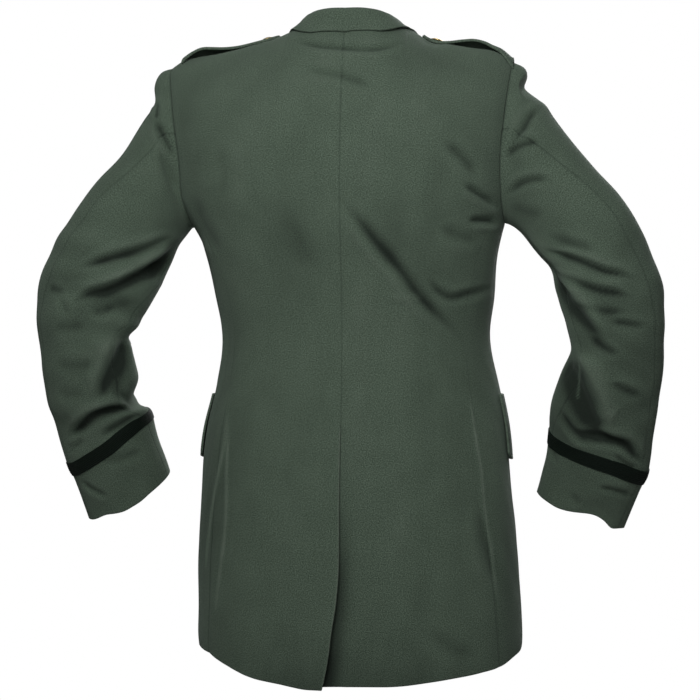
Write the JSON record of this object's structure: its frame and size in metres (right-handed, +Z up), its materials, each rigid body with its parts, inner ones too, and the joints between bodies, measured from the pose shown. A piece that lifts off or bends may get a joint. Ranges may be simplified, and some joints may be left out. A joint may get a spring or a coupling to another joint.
{
  "type": "military dress tunic",
  "caption": "Single-breasted military dress tunic, filled out as worn with both arms bent, with notched lapels, shoulder loops, flapped pockets, braided cuffs and a back vent.",
  "frame": {"origin": "middle of the neck opening, level with the two points where the shoulder seams meet the collar", "axes": "+Z up, the garment faces -Y, and its wearer's left is +X"},
  "size_m": [0.7445, 0.2702, 0.7889],
  "materials": {
    "serge": "dark grey-green wool serge, matt",
    "braid": "black ribbed mohair braid",
    "brass": "gilt brass, plain and domed"
  },
  "bodies": {
    "root": {"back_left": "serge", "side_left": "serge", "front_left": "serge", "lapel_left": "serge", "top_sleeve_left": "serge", "under_sleeve_left": "serge", "pocket_flap_left": "serge", "shoulder_loop_left": "serge", "back_right": "serge", "side_right": "serge", "front_right": "serge", "lapel_right": "serge", "top_sleeve_right": "serge", "under_sleeve_right": "serge", "pocket_flap_right": "serge", "shoulder_loop_right": "serge", "collar": "serge", "braid_left": "braid", "braid_right": "braid", "loop_button_left": "brass", "loop_button_right": "brass", "front_button_1": "brass", "front_button_2": "brass", "front_button_3": "brass", "front_button_4": "brass"}
  },
  "joints": []
}
